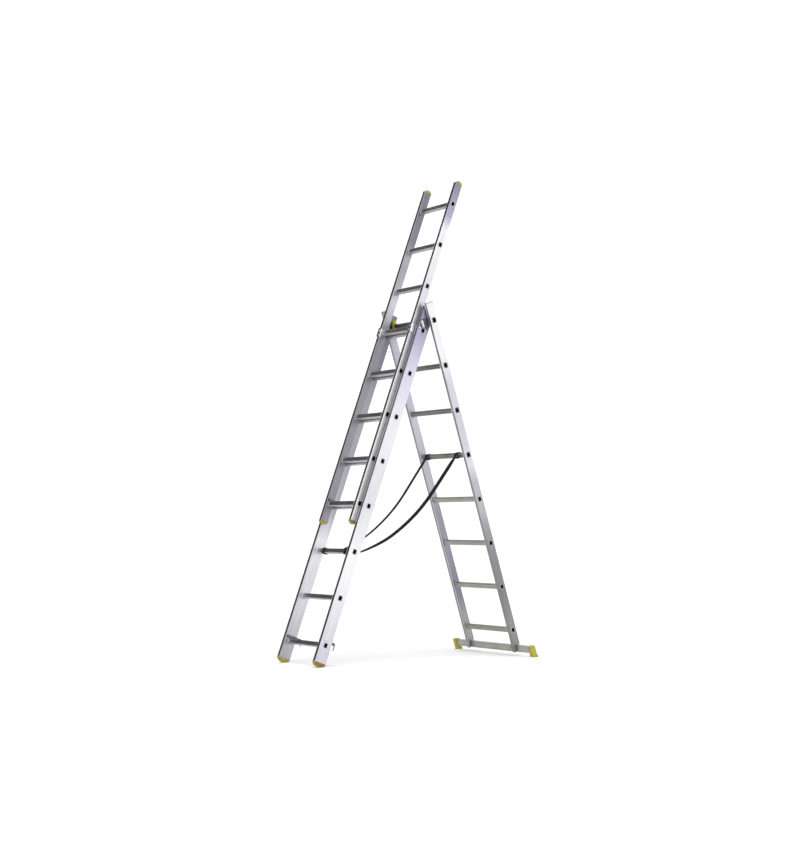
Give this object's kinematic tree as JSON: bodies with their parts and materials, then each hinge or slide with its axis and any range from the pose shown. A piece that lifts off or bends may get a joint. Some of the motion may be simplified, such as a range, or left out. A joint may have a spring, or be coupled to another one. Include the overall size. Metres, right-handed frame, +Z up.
{
  "type": "combination ladder",
  "caption": "Three-section aluminium combination ladder standing as a stepladder: sliding fly, hinged rear leg with stabiliser bar and check straps.",
  "frame": {"origin": "middle of the ladder's box, on the ground", "axes": "+X to the right of someone climbing the front leg, +Y from the front leg to the rear leg, +Z up"},
  "size_m": [0.784, 1.4896, 2.9078],
  "materials": {
    "stile_aluminium": "mill finish extrusion, satin, fine lines along the profile",
    "rung_aluminium": "ribbed extrusion, satin, darker in the grooves",
    "zinc_steel": "blue zinc plate, satin",
    "bright_steel": "bright plated, glossy",
    "olive_plastic": "moulded, slightly scuffed",
    "grey_plastic": "moulded, matte",
    "yellow_rubber": "moulded, matte",
    "black_webbing": "woven polyester, matte"
  },
  "bodies": {
    "base": {"base_stile_left": "stile_aluminium", "base_foot_left": "olive_plastic", "base_top_cap_left": "grey_plastic", "base_hook_left": "zinc_steel", "guide_bracket_left": "bright_steel", "base_hinge_plate_left": "zinc_steel", "hinge_pin_left": "zinc_steel", "base_stile_right": "stile_aluminium", "base_foot_right": "olive_plastic", "base_top_cap_right": "grey_plastic", "base_hook_right": "zinc_steel", "guide_bracket_right": "bright_steel", "base_hinge_plate_right": "zinc_steel", "hinge_pin_right": "zinc_steel", "base_rung_1": "rung_aluminium", "base_rung_2": "rung_aluminium", "base_rung_3": "rung_aluminium", "base_rung_4": "rung_aluminium", "base_rung_5": "rung_aluminium", "base_rung_6": "rung_aluminium", "base_rung_7": "rung_aluminium", "base_rung_8": "rung_aluminium", "strap_right": "black_webbing", "strap_left": "black_webbing"},
    "fly": {"fly_stile_left": "stile_aluminium", "fly_foot_left": "olive_plastic", "fly_top_cap_left": "olive_plastic", "fly_hook_left": "zinc_steel", "fly_stile_right": "stile_aluminium", "fly_foot_right": "olive_plastic", "fly_top_cap_right": "olive_plastic", "fly_hook_right": "zinc_steel", "fly_rung_1": "rung_aluminium", "fly_rung_2": "rung_aluminium", "fly_rung_3": "rung_aluminium", "fly_rung_4": "rung_aluminium", "fly_rung_5": "rung_aluminium", "fly_rung_6": "rung_aluminium", "fly_rung_7": "rung_aluminium", "fly_rung_8": "rung_aluminium"},
    "rear": {"rear_stile_left": "stile_aluminium", "rear_top_cap_left": "olive_plastic", "rear_hinge_arm_left": "zinc_steel", "rung_saddle_left": "yellow_rubber", "stabiliser_foot_left": "yellow_rubber", "rear_stile_right": "stile_aluminium", "rear_top_cap_right": "olive_plastic", "rear_hinge_arm_right": "zinc_steel", "rung_saddle_right": "yellow_rubber", "stabiliser_foot_right": "yellow_rubber", "stabiliser_bar": "stile_aluminium", "rear_rung_1": "rung_aluminium", "rear_rung_2": "rung_aluminium", "rear_rung_3": "rung_aluminium", "rear_rung_4": "rung_aluminium", "rear_rung_5": "rung_aluminium", "rear_rung_6": "rung_aluminium", "rear_rung_7": "rung_aluminium", "rear_rung_8": "rung_aluminium"}
  },
  "joints": [
    {"name": "fly_slide", "type": "slide", "parent": "base", "child": "fly", "axis": [0, 0.3491, 0.9371], "range_m": [-0.84, 0.56]},
    {"name": "rear_fold", "type": "hinge", "parent": "base", "child": "rear", "pos_m": [0, 0.0252, 1.9898], "axis": [-1, 0, 0], "range_deg": [0, 38.28], "deforming": ["strap_left", "strap_right"]}
  ]
}
